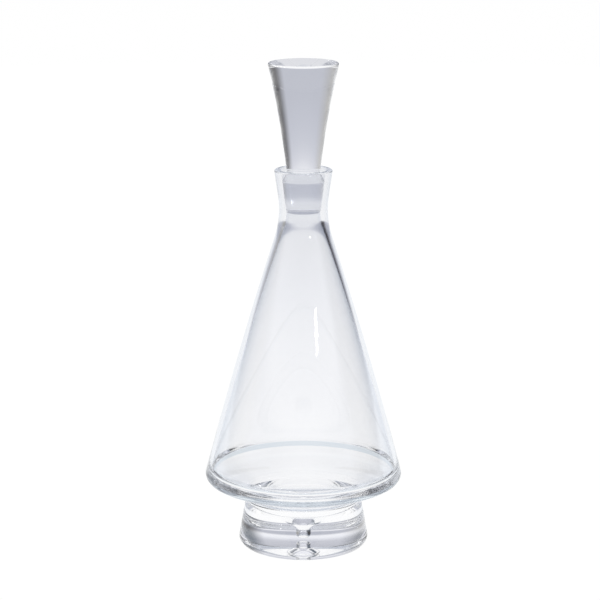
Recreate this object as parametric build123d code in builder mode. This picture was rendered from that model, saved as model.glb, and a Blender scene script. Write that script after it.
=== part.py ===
from build123d import *
import os

# Wine decanter with a ground stopper: a blown bowl, a solid foot and a solid stopper.
# Millimetres, +Z up, origin on the table at the centre of the foot.
# Every piece is turned about Z from a half outline drawn on the XZ plane.

# Heights above the table
total_height = 330.0
mouth_height = 259.0
neck_corner_height = 227.0
inner_neck_height = 225.7
cone_middle_height = 131.5
floor_edge_height = 53.5
edge_height = 47.0
floor_lip_height = 36.0
underside_height = 34.5
well_floor_height = 26.5
joint_height = 22.0

# Outside of the bowl, whose underside slopes down from the edge to a short lower neck
mouth_radius = 19.5
neck_corner_radius = 14.9
cone_middle_radius = 44.4
edge_radius = 67.6
underside_radius = 38.9
neck_rounding = 62.0
edge_rounding = 4.4
underside_rounding = 4.0
rim_rounding = 1.2

# Inside of the bowl: the floor falls to a rounded lip, and steeper from there to a flat well
seat_mouth_radius = 15.0
seat_taper = 0.1176
inner_middle_radius = 41.4
floor_edge_radius = 63.0
floor_lip_radius = 38.0
well_radius = 31.0
inner_neck_rounding = 22.0
floor_edge_rounding = 6.0
floor_lip_rounding = 12.0
well_rounding = 6.0

# Foot: its side carries on the line of the lower neck, and its base is ground hollow
base_radius = 45.0
base_rounding = 4.5
hollow_radius = 37.0
hollow_height = 3.0
bubble_mouth_radius = 8.0
bubble_shoulder_height = 17.0
bubble_tail_radius = 3.4
bubble_tail_height = 9.6
bubble_end_height = 4.0

# Stopper
head_radius = 23.7
head_middle_radius = 16.6
head_middle_height = 295.5
head_rounding = 1.3
waist_radius = 11.1
waist_height = 257.4
shoulder_height = 252.4
plug_end_height = 230.8
plug_clearance = 0.2
shoulder_rounding = 1.2
waist_rounding = 0.8
plug_rounding = 0.8


def seat_radius(height):
    """Radius of the ground seat in the neck at a height."""
    return seat_mouth_radius - seat_taper * (mouth_height - height)


def side_radius(height):
    """Radius of the straight side that the lower neck and the foot share."""
    return base_radius + (underside_radius - base_radius) * height / underside_height


def corner(sketch, x, height):
    """The corner of an outline that is nearest to a point of the half section."""
    return sketch.vertices().sort_by_distance((x, height, 0))[0]


os.makedirs("parts", exist_ok=True)

# Bowl: cone, neck and rim outside, then ground seat, cone, floor and well inside
with BuildPart() as bowl:
    with BuildSketch(Plane.XZ) as bowl_outline:
        with BuildLine():
            Polyline(
                (0, well_floor_height),
                (0, joint_height),
                (side_radius(joint_height), joint_height),
                (underside_radius, underside_height),
                (edge_radius, edge_height),
            )
            ThreePointArc(
                (edge_radius, edge_height),
                (cone_middle_radius, cone_middle_height),
                (neck_corner_radius, neck_corner_height),
            )
            Polyline(
                (neck_corner_radius, neck_corner_height),
                (mouth_radius, mouth_height),
                (seat_mouth_radius, mouth_height),
                (seat_radius(inner_neck_height), inner_neck_height),
            )
            ThreePointArc(
                (seat_radius(inner_neck_height), inner_neck_height),
                (inner_middle_radius, cone_middle_height),
                (floor_edge_radius, floor_edge_height),
            )
            Polyline(
                (floor_edge_radius, floor_edge_height),
                (floor_lip_radius, floor_lip_height),
                (well_radius, well_floor_height),
                (0, well_floor_height),
            )
        make_face()
        fillet(corner(bowl_outline, underside_radius, underside_height), underside_rounding)
        fillet(corner(bowl_outline, edge_radius, edge_height), edge_rounding)
        fillet(corner(bowl_outline, neck_corner_radius, neck_corner_height), neck_rounding)
        fillet(corner(bowl_outline, mouth_radius, mouth_height), rim_rounding)
        fillet(corner(bowl_outline, seat_mouth_radius, mouth_height), rim_rounding)
        fillet(corner(bowl_outline, seat_radius(inner_neck_height), inner_neck_height), inner_neck_rounding)
        fillet(corner(bowl_outline, floor_edge_radius, floor_edge_height), floor_edge_rounding)
        fillet(corner(bowl_outline, floor_lip_radius, floor_lip_height), floor_lip_rounding)
        fillet(corner(bowl_outline, well_radius, well_floor_height), well_rounding)
    revolve(axis=Axis.Z)
bowl.part.label = "bowl"
export_step(bowl.part, "parts/bowl.step")

# Foot: solid, hollow-ground below, with an air bubble pricked into its top face that the bowl closes
bubble_bend_height = bubble_end_height + bubble_tail_radius
with BuildPart() as foot:
    with BuildSketch(Plane.XZ) as foot_outline:
        with BuildLine():
            Line((0, bubble_end_height), (0, hollow_height))
            TangentArc((0, hollow_height), (hollow_radius, 0), tangent=(1, 0))
            Polyline(
                (hollow_radius, 0),
                (base_radius, 0),
                (side_radius(joint_height), joint_height),
                (bubble_mouth_radius, joint_height),
                (bubble_mouth_radius, bubble_shoulder_height),
            )
            Spline(
                (bubble_mouth_radius, bubble_shoulder_height),
                (bubble_tail_radius, bubble_tail_height),
                tangents=((0, -1), (0, -1)),
            )
            Line((bubble_tail_radius, bubble_tail_height), (bubble_tail_radius, bubble_bend_height))
            RadiusArc(
                (bubble_tail_radius, bubble_bend_height),
                (0, bubble_end_height),
                bubble_tail_radius,
            )
        make_face()
        fillet(corner(foot_outline, base_radius, 0), base_rounding)
    revolve(axis=Axis.Z)
foot.part.label = "foot"
export_step(foot.part, "parts/foot.step")

# Stopper: inverted-cone head, waist, rounded shoulder and tapered plug, all solid
plug_shoulder_radius = seat_radius(shoulder_height) - plug_clearance
plug_end_radius = seat_radius(plug_end_height) - plug_clearance
with BuildPart() as stopper:
    with BuildSketch(Plane.XZ) as stopper_outline:
        with BuildLine():
            ThreePointArc(
                (head_radius, total_height),
                (head_middle_radius, head_middle_height),
                (waist_radius, waist_height),
            )
            Polyline(
                (waist_radius, waist_height),
                (plug_shoulder_radius, shoulder_height),
                (plug_end_radius, plug_end_height),
                (0, plug_end_height),
                (0, total_height),
                (head_radius, total_height),
            )
        make_face()
        fillet(corner(stopper_outline, head_radius, total_height), head_rounding)
        fillet(corner(stopper_outline, waist_radius, waist_height), waist_rounding)
        fillet(corner(stopper_outline, plug_shoulder_radius, shoulder_height), shoulder_rounding)
        fillet(corner(stopper_outline, plug_end_radius, plug_end_height), plug_rounding)
    revolve(axis=Axis.Z)
stopper.part.label = "stopper"
export_step(stopper.part, "parts/stopper.step")
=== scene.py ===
# %% [markdown]
# # A stoppered glass decanter
# The decanter is three pieces of clear glass: a blown bowl, a solid foot fused under it, and a
# solid stopper whose plug is ground to the neck. Glass has no colour or texture of its own to
# hide behind, so nearly all of its look comes from exact, smooth surfaces and from what they
# bend and reflect. The CAD model gives the frame, and this lesson makes the glass around it.

# %% Load the frame
import math
import bmesh
import bpy
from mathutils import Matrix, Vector


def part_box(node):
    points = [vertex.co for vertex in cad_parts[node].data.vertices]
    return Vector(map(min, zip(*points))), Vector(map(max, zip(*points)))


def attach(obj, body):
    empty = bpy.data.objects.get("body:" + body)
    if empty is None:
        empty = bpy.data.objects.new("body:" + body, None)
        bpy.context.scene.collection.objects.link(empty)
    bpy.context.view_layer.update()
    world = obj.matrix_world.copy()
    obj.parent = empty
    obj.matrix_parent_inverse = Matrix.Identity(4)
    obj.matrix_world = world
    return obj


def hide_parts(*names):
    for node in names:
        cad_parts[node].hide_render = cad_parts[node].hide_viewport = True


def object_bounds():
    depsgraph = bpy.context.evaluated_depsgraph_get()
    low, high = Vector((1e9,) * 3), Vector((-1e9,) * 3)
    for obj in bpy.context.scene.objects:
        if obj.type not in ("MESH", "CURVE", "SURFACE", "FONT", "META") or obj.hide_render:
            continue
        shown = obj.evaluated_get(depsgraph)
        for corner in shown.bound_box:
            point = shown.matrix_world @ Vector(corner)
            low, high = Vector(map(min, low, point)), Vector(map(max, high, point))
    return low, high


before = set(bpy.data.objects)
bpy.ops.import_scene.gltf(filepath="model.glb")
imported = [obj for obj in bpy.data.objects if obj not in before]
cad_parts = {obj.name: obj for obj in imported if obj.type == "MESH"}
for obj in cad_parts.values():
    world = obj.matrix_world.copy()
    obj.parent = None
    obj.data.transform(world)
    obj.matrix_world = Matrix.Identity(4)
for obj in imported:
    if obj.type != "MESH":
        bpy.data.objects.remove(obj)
cad_low, cad_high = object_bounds()
bpy.ops.object.select_all(action="DESELECT")
mm = 0.001
print("CAD box in mm:", [round(v / mm, 1) for v in (*cad_low, *cad_high)])

# %% [markdown]
# ## The camera
# The camera looks slightly down on the decanter from the front. It stands well back with a long
# lens, which keeps the upright sides nearly straight. A small sideways shift of the frame
# places the object without turning the camera.

# %% Camera
camera_distance = 1.4064
camera_height = 0.5079
camera_tilt = math.radians(13.508)
sensor_width = 36
lens_length = 129.23
sideways_shift = -0.0057
camera_location = (0, -camera_distance, camera_height)
camera_turn = (math.pi / 2 - camera_tilt, 0, 0)
bpy.ops.object.camera_add(location=camera_location, rotation=camera_turn)
camera = bpy.context.object
camera.name = "studio_camera"
camera.data.sensor_width = sensor_width
camera.data.lens = lens_length
camera.data.shift_x = sideways_shift
bpy.context.scene.camera = camera
bpy.context.scene.view_settings.view_transform = "Standard"
tilt_in_degrees = round(math.degrees(camera_tilt), 1)
print("camera", [round(v, 3) for v in camera.location], "tilted", tilt_in_degrees)

# %% [markdown]
# ## Room for light to bounce
# Light that gets into a glass wall is reflected inside it many times before it finds a way out,
# up in the rim and down in the thick lower edge. Blender gives up after a few of these
# reflections and paints black, so the limits are raised for this object.

# %% Light bounces
reflections_allowed = 64
bounces_allowed = 80
light_paths = bpy.context.scene.cycles
light_paths.glossy_bounces = reflections_allowed
light_paths.transmission_bounces = bounces_allowed
light_paths.max_bounces = bounces_allowed
print("light may be reflected", reflections_allowed, "times, and bounce", bounces_allowed, "in all")

# %% [markdown]
# ## Drawing an outline
# Each piece is turned on an axis, so all that has to be drawn is half of its section. A glass
# cutter's template is straight sides with rounded corners, and that is how it is drawn here:
# one vertex is extruded along each straight side and spun about a centre round each corner.
# A Screw modifier on a curve would also do it, but the pen makes exact arcs, and it sets how
# closely they are divided. Close steps matter, because light is bent by the shading normals.

# %% The pen: one vertex that is extruded and spun
side_step = 3.5 * mm
arc_step = math.radians(3.2)
print("sides in steps of", side_step / mm, "mm, arcs of", math.degrees(arc_step), "degrees")


def start_outline(name, x, z):
    """Make a mesh of one vertex at (x, z) on the XZ plane, and stay in edit mode."""
    bpy.ops.object.select_all(action="DESELECT")
    bpy.ops.mesh.primitive_plane_add(size=mm, location=(0, 0, 0))
    piece = bpy.context.object
    piece.name = name
    piece.data.name = name
    bpy.ops.object.mode_set(mode="EDIT")
    bpy.ops.mesh.select_all(action="SELECT")
    bpy.ops.mesh.merge(type="CENTER")
    bpy.ops.transform.translate(value=(x, 0, z))
    return piece


def side_to(start, end):
    """Extrude the vertex along a straight side, in equal steps."""
    steps = max(1, math.ceil((end - start).length / side_step))
    step = (end - start) / steps
    move = {"value": (step.x, 0, step.y)}
    for _ in range(steps):
        bpy.ops.mesh.extrude_vertices_move(TRANSFORM_OT_translate=move)


def arc_to(start, end, centre):
    """Spin the vertex about a centre, the short way round."""
    before = start - centre
    after = end - centre
    turn = math.atan2(before.x * after.y - before.y * after.x, before.dot(after))
    length_steps = abs(turn) * before.length / side_step
    steps = math.ceil(max(abs(turn) / arc_step, length_steps))
    bpy.ops.mesh.spin(steps=steps, angle=turn, center=(centre.x, 0, centre.y), axis=(0, 1, 0))


# %% [markdown]
# ## Bowed sides and rounded corners
# The cone of the bowl and the head of the stopper are not quite straight: their sides bow by a
# millimetre or two, as part of a circle metres wide. A side is kept as its two ends and the
# centre of its bow, or no centre where it is straight. The centre of a rounding lies one radius
# off both sides, and a few steps of correction find it for straight and bowed sides alike.

# %% Sides and the arcs between them
correction_steps = 8


def bow_centre(first, middle, last):
    """The centre of the circle through three points of a bowed side."""
    chord_a = middle - first
    chord_b = last - first
    cross = 2 * (chord_a.x * chord_b.y - chord_a.y * chord_b.x)
    across = chord_b.y * chord_a.length_squared - chord_a.y * chord_b.length_squared
    up = chord_a.x * chord_b.length_squared - chord_b.x * chord_a.length_squared
    return first + Vector((across, up)) / cross


def off_side(side, point):
    """How far a point is off a side, and the direction straight away from the side."""
    start, end, centre = side
    if centre is None:
        away = Vector((start.y - end.y, end.x - start.x)).normalized()
        return (point - start).dot(away), away
    from_centre = point - centre
    return from_centre.length - (start - centre).length, from_centre.normalized()


def rounding(side_a, side_b, radius):
    """Where the arc that rounds the corner between two sides starts, ends and has its centre."""
    corner = side_b[0]
    back = (side_a[0] - corner).normalized()
    on = (side_b[1] - corner).normalized()
    centre = corner + (back + on) * radius
    offset_a = math.copysign(radius, off_side(side_a, centre)[0])
    offset_b = math.copysign(radius, off_side(side_b, centre)[0])
    for _ in range(correction_steps):
        off_a, away_a = off_side(side_a, centre)
        off_b, away_b = off_side(side_b, centre)
        miss_a = offset_a - off_a
        miss_b = offset_b - off_b
        cross = away_a.x * away_b.y - away_a.y * away_b.x
        shift_x = miss_a * away_b.y - miss_b * away_a.y
        shift_z = miss_b * away_a.x - miss_a * away_b.x
        centre = centre + Vector((shift_x, shift_z)) / cross
    return centre - away_a * offset_a, centre - away_b * offset_b, centre


# %% [markdown]
# ## A whole outline
# An outline is written as its corners, each with its rounding, in the order that the pen meets
# them. The pen runs along a side, stops where the rounding begins, goes round it, and starts on
# the next side from there.

# %% Draw a whole outline
def draw_side(start, end, centre):
    """Draw one side, straight or bowed."""
    if centre is None:
        side_to(start, end)
    else:
        arc_to(start, end, centre)


def draw_outline(corners):
    """Draw corners of (x, z, radius); a fourth value is a point that the next side bows through."""
    points = [Vector(corner[:2]) for corner in corners]
    sides = []
    for corner, start, end in zip(corners, points, points[1:]):
        bowed = len(corner) > 3
        centre = bow_centre(start, Vector(corner[3]), end) if bowed else None
        sides.append((start, end, centre))
    here = points[0]
    for side, next_side, corner in zip(sides, sides[1:], corners[1:]):
        radius = corner[2]
        if radius == 0:
            draw_side(here, side[1], side[2])
            here = side[1]
            continue
        start, end, centre = rounding(side, next_side, radius)
        draw_side(here, start, side[2])
        arc_to(start, end, centre)
        here = end
    draw_side(here, points[-1], sides[-1][2])


# %% [markdown]
# ## Turning an outline into glass
# The outline is spun once round the axis of the decanter. The spin leaves a seam, and at each
# pole a ring of vertices on one spot, so doubles are merged and the normals are made to point
# outwards. Shading is smooth except where two surfaces meet at a real angle. The lathe counts
# open edges and measures the volume, since glass with a hole in it bends light wrongly.

# %% The lathe
lathe_steps = 192
crease_angle = math.radians(25)
seam_gap = 0.01 * mm


def turn_on_lathe(piece):
    """Spin the outline round Z, close the seam and the poles, and leave edit mode."""
    bpy.ops.mesh.select_all(action="SELECT")
    bpy.ops.mesh.spin(steps=lathe_steps, angle=2 * math.pi, center=(0, 0, 0), axis=(0, 0, 1))
    bpy.ops.mesh.select_all(action="SELECT")
    bpy.ops.mesh.remove_doubles(threshold=seam_gap)
    bpy.ops.mesh.normals_make_consistent(inside=False)
    bpy.ops.object.mode_set(mode="OBJECT")
    bpy.ops.object.shade_smooth_by_angle(angle=crease_angle)
    shape = bmesh.new()
    shape.from_mesh(piece.data)
    open_edges = sum(1 for edge in shape.edges if not edge.is_manifold)
    volume = round(shape.calc_volume() / mm**3)
    shape.free()
    faces = len(piece.data.polygons)
    print(piece.name, faces, "faces,", open_edges, "open edges,", volume, "mm3")


# %% [markdown]
# ## The heights that the pieces share
# The CAD boxes give the heights that everything is drawn from: where the foot ends and the bowl
# begins, where the mouth is, and how far down the plug reaches. The sizes below are the driving
# dimensions of the CAD model. The ground seat in the neck has a slow taper, about one in eight,
# which is what makes a ground stopper wedge.

# %% Driving sizes
joint_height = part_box("foot")[1].z
mouth_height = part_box("bowl")[1].z
stopper_low, stopper_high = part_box("stopper")
base_radius = 45.0 * mm
underside_radius = 38.9 * mm
underside_height = 34.5 * mm
seat_mouth_radius = 15.0 * mm
seat_taper = 0.1176
fusing_gap = 0.02 * mm
print("joint at", round(joint_height / mm, 2), "mouth at", round(mouth_height / mm, 2), "mm")


def side_radius(height):
    """Radius of the straight side that the bowl's lower neck and the foot share."""
    return base_radius + (underside_radius - base_radius) * height / underside_height


def seat_radius(height):
    """Radius of the ground seat in the neck at a height."""
    return seat_mouth_radius - seat_taper * (mouth_height - height)


# %% [markdown]
# ## The bowl
# The bowl is blown into a mould, so its outside and inside are separate outlines that meet in
# the fire-polished rim. Inside, the wall comes down to a rounded floor edge, the floor falls to
# a lip, and a shallow flat well lies under it, right above the solid glass of the foot. One
# closed outline from pole to pole gives a wall with its true, uneven thickness, which a Solidify
# modifier could not.

# %% Bowl outline and piece
rim_radius = 19.5 * mm
rim_rounding = 1.2 * mm
edge_radius = 67.6 * mm
edge_height = 47.0 * mm
edge_rounding = 4.4 * mm
cone_middle_height = 131.5 * mm
outer_bow = (44.4 * mm, cone_middle_height)
inner_bow = (41.4 * mm, cone_middle_height)
outer_neck = (14.9 * mm, 227.0 * mm)
inner_neck_height = 225.7 * mm
floor_edge = (63.0 * mm, 53.5 * mm)
floor_lip = (38.0 * mm, 36.0 * mm)
well_radius = 31.0 * mm
well_floor_height = 26.5 * mm
bowl_bottom = joint_height + fusing_gap

bowl_glass = start_outline("bowl_glass", 0, bowl_bottom)
draw_outline([
    (0, bowl_bottom, 0),
    (side_radius(joint_height), bowl_bottom, 0),
    (underside_radius, underside_height, 4.0 * mm),
    (edge_radius, edge_height, edge_rounding, outer_bow),
    (*outer_neck, 62.0 * mm),
    (rim_radius, mouth_height, rim_rounding),
    (seat_mouth_radius, mouth_height, rim_rounding),
    (seat_radius(inner_neck_height), inner_neck_height, 22.0 * mm, inner_bow),
    (*floor_edge, 6.0 * mm),
    (*floor_lip, 12.0 * mm),
    (well_radius, well_floor_height, 6.0 * mm),
    (0, well_floor_height, 0),
])
turn_on_lathe(bowl_glass)

# %% [markdown]
# ## The foot
# The foot is a solid block of glass with a base that is ground slightly hollow, so that it
# stands on a ring. The hollow is part of a large sphere, whose radius follows from its height
# and its width.

# %% Foot outline and piece
hollow_height = 3.0 * mm
hollow_radius = 37.0 * mm
hollow_curve = (hollow_radius**2 + hollow_height**2) / (2 * hollow_height)
hollow_top = Vector((0, hollow_height))
hollow_rim = Vector((hollow_radius, 0))

foot_glass = start_outline("foot_glass", 0, hollow_height)
arc_to(hollow_top, hollow_rim, Vector((0, hollow_height - hollow_curve)))
draw_outline([
    (hollow_radius, 0, 0),
    (base_radius, 0, 4.5 * mm),
    (side_radius(joint_height), joint_height, 0),
    (0, joint_height, 0),
])
turn_on_lathe(foot_glass)

# %% [markdown]
# ## The bubble
# Before the bowl is fused on, a dimple is pricked into the hot glass of the foot, and the air
# caught in it swells into a bubble with a tail. A bubble is a surface with glass outside and air
# inside, so it is turned like any other piece, and then its faces are flipped to look inwards.

# %% Bubble outline, turned inside out and joined to the foot
bubble_cover = 0.3 * mm
bubble_top = joint_height - bubble_cover
bubble_mouth_radius = 8.1 * mm
bubble_shoulder = (8.3 * mm, 15.2 * mm)
bubble_neck = (3.5 * mm, 10.8 * mm)
tail_radius = 3.4 * mm
bubble_end = 4.0 * mm

bubble = start_outline("bubble", 0, bubble_end)
draw_outline([
    (0, bubble_end, 0),
    (tail_radius, bubble_end, 3.0 * mm),
    (*bubble_neck, 2.6 * mm),
    (*bubble_shoulder, 2.4 * mm),
    (bubble_mouth_radius, bubble_top, 2.2 * mm),
    (0, bubble_top, 0),
])
turn_on_lathe(bubble)
bpy.ops.object.mode_set(mode="EDIT")
bpy.ops.mesh.select_all(action="SELECT")
bpy.ops.mesh.flip_normals()
bpy.ops.object.mode_set(mode="OBJECT")
foot_glass.select_set(True)
bpy.context.view_layer.objects.active = foot_glass
bpy.ops.object.join()
print("foot with its bubble:", len(foot_glass.data.polygons), "faces")

# %% [markdown]
# ## The stopper
# The stopper is pressed solid: a head like an upturned cone with slightly hollow sides, a waist
# to lift it by, a rounded shoulder, and the tapered plug. The plug has the taper of the seat
# and stands a fifth of a millimetre clear of it all round.

# %% Stopper outline and piece
plug_clearance = 0.2 * mm
plug_end = stopper_low.z
shoulder_height = 252.4 * mm
waist = (11.1 * mm, 257.4 * mm)
head_radius = 23.7 * mm
head_bow = (16.6 * mm, 295.5 * mm)

stopper_glass = start_outline("stopper_glass", 0, plug_end)
draw_outline([
    (0, plug_end, 0),
    (seat_radius(plug_end) - plug_clearance, plug_end, 0.8 * mm),
    (seat_radius(shoulder_height) - plug_clearance, shoulder_height, 1.2 * mm),
    (*waist, 0.8 * mm, head_bow),
    (head_radius, stopper_high.z, 1.3 * mm),
    (0, stopper_high.z, 0),
])
turn_on_lathe(stopper_glass)

# %% [markdown]
# ## Clear glass
# Blown glass is clear all through, with a trace of iron that tints it cool. A real tint grows
# with depth, and a Volume Absorption would do that, but a volume wants one material on the whole
# of a closed piece. These pieces also need ground faces and a fused joint, so the tint is the
# colour of the clear surface. That surface is never quite flat either: a broad, very shallow
# noise stands for the waves that the mould and the fire polish leave, and a finer one varies
# the gloss by a trace.

# %% Glass material
smear_scale = 60.0


def node(tree, kind, **inputs):
    """Add a node and set the named inputs."""
    made = tree.nodes.new(kind)
    for name, value in inputs.items():
        made.inputs[name.replace("_", " ")].default_value = value
    return made


def make_glass(name, tint, wave_scale, wave_depth, gloss_low, gloss_high):
    """Clear glass with shallow surface waves and a faint change of gloss."""
    glass = bpy.data.materials.new(name)
    glass.use_nodes = True
    tree = glass.node_tree
    surface = tree.nodes["Principled BSDF"]
    surface.inputs["Base Color"].default_value = (*tint, 1)
    surface.inputs["Transmission Weight"].default_value = 1
    surface.inputs["IOR"].default_value = 1.5
    place = node(tree, "ShaderNodeTexCoord")
    waves = node(tree, "ShaderNodeTexNoise", Scale=wave_scale, Detail=1.0)
    tree.links.new(place.outputs["Object"], waves.inputs["Vector"])
    bump = node(tree, "ShaderNodeBump", Strength=1.0, Distance=wave_depth)
    tree.links.new(waves.outputs["Fac"], bump.inputs["Height"])
    tree.links.new(bump.outputs["Normal"], surface.inputs["Normal"])
    smears = node(tree, "ShaderNodeTexNoise", Scale=smear_scale, Detail=3.0)
    tree.links.new(place.outputs["Object"], smears.inputs["Vector"])
    gloss = node(tree, "ShaderNodeMapRange", To_Min=gloss_low, To_Max=gloss_high)
    tree.links.new(smears.outputs["Fac"], gloss.inputs["Value"])
    tree.links.new(gloss.outputs["Result"], surface.inputs["Roughness"])
    print(name, "tint", tint, "roughness", gloss_low, "to", gloss_high)
    return glass


# %% [markdown]
# ## Three clear glasses
# The blown wall has the broadest and deepest waves, the foot is the flattest, and the pressed
# stopper lies between them. None is more than a few thousandths of a millimetre deep. A finish
# is the scale and depth of its waves, and its lowest and highest roughness.

# %% Blown, solid and pressed glass
floor_tint = (0.985, 0.988, 0.993)
solid_tint = (0.960, 0.964, 0.975)
blown_finish = (22.0, 0.004 * mm, 0.0, 0.012)
solid_finish = (30.0, 0.002 * mm, 0.0, 0.008)
pressed_finish = (35.0, 0.003 * mm, 0.0, 0.01)
blown_glass = make_glass("blown_glass", floor_tint, *blown_finish)
solid_glass = make_glass("solid_glass", solid_tint, *solid_finish)
pressed_glass = make_glass("pressed_glass", solid_tint, *pressed_finish)

# %% [markdown]
# ## A ramp over a measure
# A colour ramp only knows positions from 0 to 1, so a Map Range node brings a real measure, such
# as a height or an angle, into that span first. The stops are then written in plain units.

# %% A ramp over a measure
def ramp_over(tree, source, low, high, unit, stops):
    """A colour ramp over a node output, with stops of (value, colour) in the given unit."""
    scaled = node(tree, "ShaderNodeMapRange", From_Min=low * unit, From_Max=high * unit)
    tree.links.new(source, scaled.inputs["Value"])
    ramp = tree.nodes.new("ShaderNodeValToRGB")
    tree.links.new(scaled.outputs["Result"], ramp.inputs["Fac"])
    elements = ramp.color_ramp.elements
    elements.remove(elements[1])
    for number, (value, colour) in enumerate(stops):
        position = (value - low) / (high - low)
        element = elements.new(position) if number else elements[0]
        element.position = position
        element.color = (*colour, 1)
    print("ramp with", len(stops), "stops from", stops[0][0], "to", stops[-1][0])
    return ramp.outputs["Color"]


# %% [markdown]
# ## A wall painted darker towards the neck
# The colour of the blown wall is darkened with height, from nearly none at the floor to a cool
# grey at the mouth. This is painted shade, for the darker studio that the upper glass shows. Light
# that meets a wall at a slant goes through more of it too, so a Layer Weight deepens the tint
# towards the outline.

# %% Painted shade by height, tint by slant
# The colour at the mouth is the cool tint of the glass, darkened with painted shade.
neck_tint_and_shade = (0.842, 0.852, 0.880)
slant_tint = (0.68, 0.74, 0.83)
slant_start = 0.4
slant_full = 0.85
glass_nodes = blown_glass.node_tree
place = node(glass_nodes, "ShaderNodeTexCoord")
place_parts = node(glass_nodes, "ShaderNodeSeparateXYZ")
glass_nodes.links.new(place.outputs["Object"], place_parts.inputs["Vector"])
# These stops paint shade into the wall's colour, darker towards the neck, for the darker studio
# seen there.
painted_shade_by_height = ramp_over(glass_nodes, place_parts.outputs["Z"], 0, mouth_height / mm, mm, [
    (45, floor_tint),
    (93, (0.950, 0.954, 0.966)),
    (150, (0.930, 0.935, 0.951)),
    (180, (0.910, 0.916, 0.936)),
    (208, (0.892, 0.897, 0.915)),
    (240, neck_tint_and_shade),
])
slant = node(glass_nodes, "ShaderNodeLayerWeight", Blend=0.5)
depth = node(glass_nodes, "ShaderNodeMapRange", From_Min=slant_start, From_Max=slant_full)
glass_nodes.links.new(slant.outputs["Facing"], depth.inputs["Value"])

# %% [markdown]
# ## Laying one colour over another
# The Mix node in its Multiply mode darkens the tint by the slant, as two filters do when one is
# laid on the other. The same helper, in its plain Mix mode, builds the studio's sides further on.

# %% Mix two colours
def mix_in(tree, under, over, amount, blend="MIX"):
    """Lay one colour over another, where the amount is high. The colour over may be fixed."""
    mix = tree.nodes.new("ShaderNodeMix")
    mix.data_type = "RGBA"
    mix.blend_type = blend
    tree.links.new(amount, mix.inputs["Factor"])
    tree.links.new(under, mix.inputs["A"])
    if isinstance(over, tuple):
        mix.inputs["B"].default_value = (*over, 1)
    else:
        tree.links.new(over, mix.inputs["B"])
    return mix.outputs["Result"]


# The wall colour is the painted shade by height, darkened further by the slant tint.
wall_colour = mix_in(glass_nodes, painted_shade_by_height, slant_tint, depth.outputs["Result"], "MULTIPLY")
glass_surface = glass_nodes.nodes["Principled BSDF"]
glass_nodes.links.new(wall_colour, glass_surface.inputs["Base Color"])
print("blown_glass has", len(glass_nodes.nodes), "nodes")

# %% [markdown]
# ## The thick lower edge
# Where the cone turns under, light runs for a long way round inside the glass before it comes
# out, so the edge shows the steel blue of the glass more than any wall does. It is the same
# clear glass with a deeper tint.

# %% Edge glass material
deep_tint = (0.60, 0.685, 0.755)
edge_glass = make_glass("edge_glass", deep_tint, *blown_finish)

# %% [markdown]
# ## Ground glass
# The seat and the plug are ground together with fine grit and then polished back until they are
# nearly clear. What is left is a soft, even haze, so it is the same glass with more roughness
# and a finer, tighter pattern.

# %% Ground glass material
ground_finish = (180.0, 0.002 * mm, 0.03, 0.07)
# The seat takes the colour at the neck: the cool tint of the glass, darkened with painted shade.
ground_seat = make_glass("ground_seat", neck_tint_and_shade, *ground_finish)
ground_plug = make_glass("ground_plug", solid_tint, *ground_finish)

# %% [markdown]
# ## The fused joint
# The bowl and the foot are welded hot, so there is no surface between them and light passes
# straight on. As solids they still need closed faces there, and a gap of two hundredths of a
# millimetre keeps those off each other. They get a material with no opacity at all, so that
# the eye and the light both ignore them.

# %% Fused joint material
fused_joint = bpy.data.materials.new("fused_joint")
fused_joint.use_nodes = True
fused_joint.node_tree.nodes["Principled BSDF"].inputs["Alpha"].default_value = 0.0
print(fused_joint.name, "is clear all through")

# %% [markdown]
# ## Which faces take which finish
# Each finish belongs to a part of a turned piece that its place and its direction tell: how high
# a face is, how far from the axis, and which way it looks. One small test is written for each.

# %% Tests for the faces
joint_reach = 0.1 * mm
level_enough = 0.99
edge_inner_radius = 64.5 * mm
edge_top_height = 50.0 * mm
seat_low_height = inner_neck_height + 4.0 * mm
seat_high_height = mouth_height - rim_rounding
plug_margin = 1.0 * mm


def everywhere(middle, normal):
    """Every face of the piece."""
    return True


def at_joint(middle, normal):
    """The level faces where the bowl and the foot meet."""
    return abs(normal.z) > level_enough and abs(middle.z - joint_height) < joint_reach


def at_edge(middle, normal):
    """The outside of the thick lower edge."""
    return middle.xy.length > edge_inner_radius and middle.z < edge_top_height


def in_seat(middle, normal):
    """The ground seat, which looks at the axis."""
    looks_inwards = middle.xy.dot(normal.xy) < 0
    return looks_inwards and seat_low_height < middle.z < seat_high_height


def on_plug(middle, normal):
    """The ground side of the plug."""
    return plug_end + plug_margin < middle.z < shoulder_height - plug_margin


# %% Finishes on the pieces
def finish_faces(piece, material, belongs):
    """Give a finish to the faces whose middle and normal pass a test."""
    piece.data.materials.append(material)
    slot_number = len(piece.data.materials) - 1
    count = 0
    for face in piece.data.polygons:
        if belongs(face.center, face.normal):
            face.material_index = slot_number
            count += 1
    print(piece.name, "has", count, "faces of", material.name)


finish_faces(bowl_glass, blown_glass, everywhere)
finish_faces(bowl_glass, edge_glass, at_edge)
finish_faces(bowl_glass, ground_seat, in_seat)
finish_faces(bowl_glass, fused_joint, at_joint)
finish_faces(foot_glass, solid_glass, everywhere)
finish_faces(foot_glass, fused_joint, at_joint)
finish_faces(stopper_glass, pressed_glass, everywhere)
finish_faces(stopper_glass, ground_plug, on_plug)

# %% [markdown]
# ## The studio floor
# Clear glass is best shown on a bright ground, so that the light comes through it from behind,
# and its thick parts draw themselves in the darker things round the studio. The floor is a wide
# pale disc that glows evenly, so no lamp has to be balanced against it.

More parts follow.
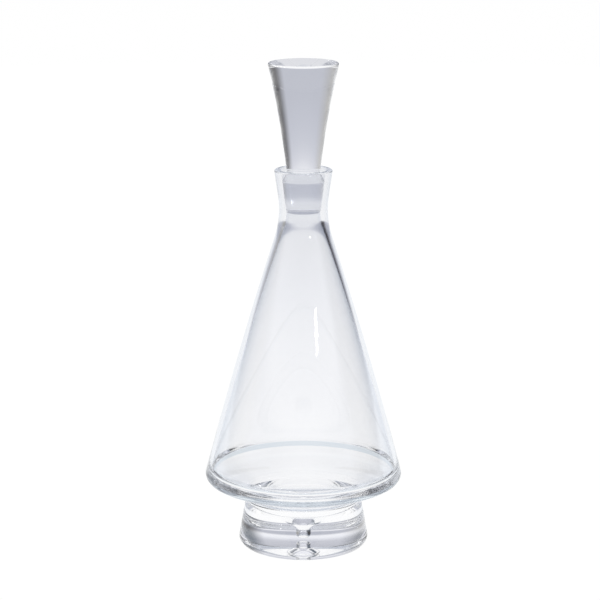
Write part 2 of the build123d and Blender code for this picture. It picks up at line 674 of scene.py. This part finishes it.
# %% Floor
floor_radius = 2.6
floor_drop = 0.2 * mm
floor_glow = 1.02
bpy.ops.mesh.primitive_circle_add(
    vertices=128, radius=floor_radius, fill_type="NGON", location=(0, 0, -floor_drop)
)
studio_floor = bpy.context.object
studio_floor.name = "studio_floor"
floor_paint = bpy.data.materials.new("floor_paint")
floor_paint.use_nodes = True
paint = floor_paint.node_tree.nodes["Principled BSDF"]
paint.inputs["Base Color"].default_value = (0.0, 0.0, 0.0, 1)
paint.inputs["Specular IOR Level"].default_value = 0.0
paint.inputs["Emission Color"].default_value = (1, 1, 1, 1)
paint.inputs["Emission Strength"].default_value = floor_glow
studio_floor.data.materials.append(floor_paint)
print(studio_floor.name, "is", 2 * floor_radius, "m across")

# %% [markdown]
# ## Directions in the studio
# The rest of the studio is in the world shader, and each of its colours depends on direction
# alone. A direction is turned into two angles: its elevation above the floor, and its bearing,
# which is 0 straight behind the decanter and grows to the right.

# %% Elevation and bearing
degree = math.radians(1)
studio = bpy.data.worlds.new("studio")
bpy.context.scene.world = studio
studio.use_nodes = True
sky = studio.node_tree
direction = node(sky, "ShaderNodeTexCoord")
direction_parts = node(sky, "ShaderNodeSeparateXYZ")
sky.links.new(direction.outputs["Generated"], direction_parts.inputs["Vector"])
elevation = sky.nodes.new("ShaderNodeMath")
elevation.operation = "ARCSINE"
sky.links.new(direction_parts.outputs["Z"], elevation.inputs[0])
bearing = sky.nodes.new("ShaderNodeMath")
bearing.operation = "ARCTAN2"
sky.links.new(direction_parts.outputs["X"], bearing.inputs[0])
sky.links.new(direction_parts.outputs["Y"], bearing.inputs[1])
print("directions from", elevation.operation, "and", bearing.operation)

# %% [markdown]
# ## Behind the decanter
# From the floor upwards, behind the decanter stand a soft grey-blue horizon, a lighter band, a
# darker wall and a pale ceiling. The ramp runs over the elevation, in degrees.

# %% Ramp behind
white = (1.0, 1.0, 1.0)
black = (0.0, 0.0, 0.0)
behind = ramp_over(sky, elevation.outputs[0], -90, 90, degree, [
    (-90, white),
    (-5.7, white),
    (-4.4, (0.95, 0.95, 0.97)),
    (-3.2, (0.80, 0.81, 0.85)),
    (-2.2, (0.68, 0.69, 0.75)),
    (-1.0, (0.60, 0.615, 0.68)),
    (1, (0.55, 0.565, 0.635)),
    (4, (0.505, 0.52, 0.585)),
    (10.5, (0.48, 0.495, 0.56)),
    (14, (0.93, 0.935, 0.97)),
    (18, (0.86, 0.87, 0.92)),
    (24, (0.58, 0.59, 0.65)),
    (32, (0.50, 0.51, 0.57)),
    (50, (0.62, 0.63, 0.68)),
    (90, (0.80, 0.81, 0.84)),
])

# %% [markdown]
# ## To the right and to the left
# The right of the studio is nearly black up to head height, and the left is a middle grey with
# a lighter band. The solid head of the stopper bends both into view, as its dark edges.

# %% Ramps for the sides
right_side = ramp_over(sky, elevation.outputs[0], -90, 90, degree, [
    (-90, white),
    (-5.7, white),
    (-3.2, (0.60, 0.60, 0.62)),
    (0, (0.10, 0.098, 0.105)),
    (8, (0.03, 0.027, 0.03)),
    (13, (0.03, 0.03, 0.035)),
    (17, (0.12, 0.14, 0.17)),
    (22, (0.10, 0.12, 0.15)),
    (34, (0.12, 0.15, 0.19)),
    (46, (0.50, 0.53, 0.58)),
    (90, (0.80, 0.81, 0.84)),
])
left_side = ramp_over(sky, elevation.outputs[0], -90, 90, degree, [
    (-90, white),
    (-5.7, white),
    (-3.2, (0.80, 0.80, 0.82)),
    (-1, (0.52, 0.515, 0.51)),
    (8, (0.38, 0.375, 0.365)),
    (12, (0.38, 0.38, 0.38)),
    (17, (0.60, 0.61, 0.64)),
    (22, (0.22, 0.235, 0.265)),
    (34, (0.22, 0.235, 0.265)),
    (46, (0.50, 0.53, 0.58)),
    (90, (0.80, 0.81, 0.84)),
])

# %% [markdown]
# ## Where the sides are
# Two more ramps run over the bearing. Each is a mask: white where its side of the studio is in
# full, black where it has ended, and grey in between, so that no hard edge shows in the glass.

# %% Masks for the sides
on_right = ramp_over(sky, bearing.outputs[0], -180, 180, degree, [
    (-180, black),
    (26, black),
    (32, (0.35, 0.35, 0.35)),
    (38, (0.72, 0.72, 0.72)),
    (44, (0.95, 0.95, 0.95)),
    (50, white),
    (104, white),
    (118, black),
    (180, black),
])
on_left = ramp_over(sky, bearing.outputs[0], -180, 180, degree, [
    (-180, black),
    (-108, black),
    (-92, white),
    (-50, white),
    (-24, black),
    (180, black),
])

# %% [markdown]
# ## The whole studio
# The right side is laid over what stands behind, and the left side over both, each through its
# mask. That is the colour of the world's one Background shader.

# %% The whole studio
with_right = mix_in(sky, behind, right_side, on_right)
all_round = mix_in(sky, with_right, left_side, on_left)
sky.links.new(all_round, sky.nodes["Background"].inputs["Color"])
print("studio colours:", len(sky.nodes), "nodes")

# %% [markdown]
# ## Softbox
# One small softbox stands to the right of the camera and a little higher, and looks at the
# middle of the decanter. It draws the short, thin highlight down the right of the cone.

# %% Softbox
softbox_place = Vector((0.70, -1.35, 0.66))
softbox_width = 0.16
softbox_tall = 0.06
softbox_power = 0.35
decanter_middle = Vector((0, 0, (cad_low.z + cad_high.z) / 2))
softbox_turn = (decanter_middle - softbox_place).to_track_quat("-Z", "Y").to_euler()
bpy.ops.object.light_add(type="AREA", location=softbox_place, rotation=softbox_turn)
softbox = bpy.context.object
softbox.name = "softbox_right"
softbox.data.shape = "RECTANGLE"
softbox.data.size = softbox_width
softbox.data.size_y = softbox_tall
softbox.data.energy = softbox_power
print(softbox.name, "is", softbox_width, "by", softbox_tall, "m, with", softbox_power, "W")

# %% [markdown]
# ## The pieces and their bodies
# Each glass piece stands for its CAD solid, which is hidden, and moves with its body: the bowl
# and the foot with the vessel, the stopper on its own lift.

# %% Bodies
for piece, body, solid, finish in (
    (bowl_glass, "vessel", "bowl", "clear_glass"),
    (foot_glass, "vessel", "foot", "foot_glass"),
    (stopper_glass, "stopper", "stopper", "stopper_glass"),
):
    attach(piece, body)
    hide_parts(solid)
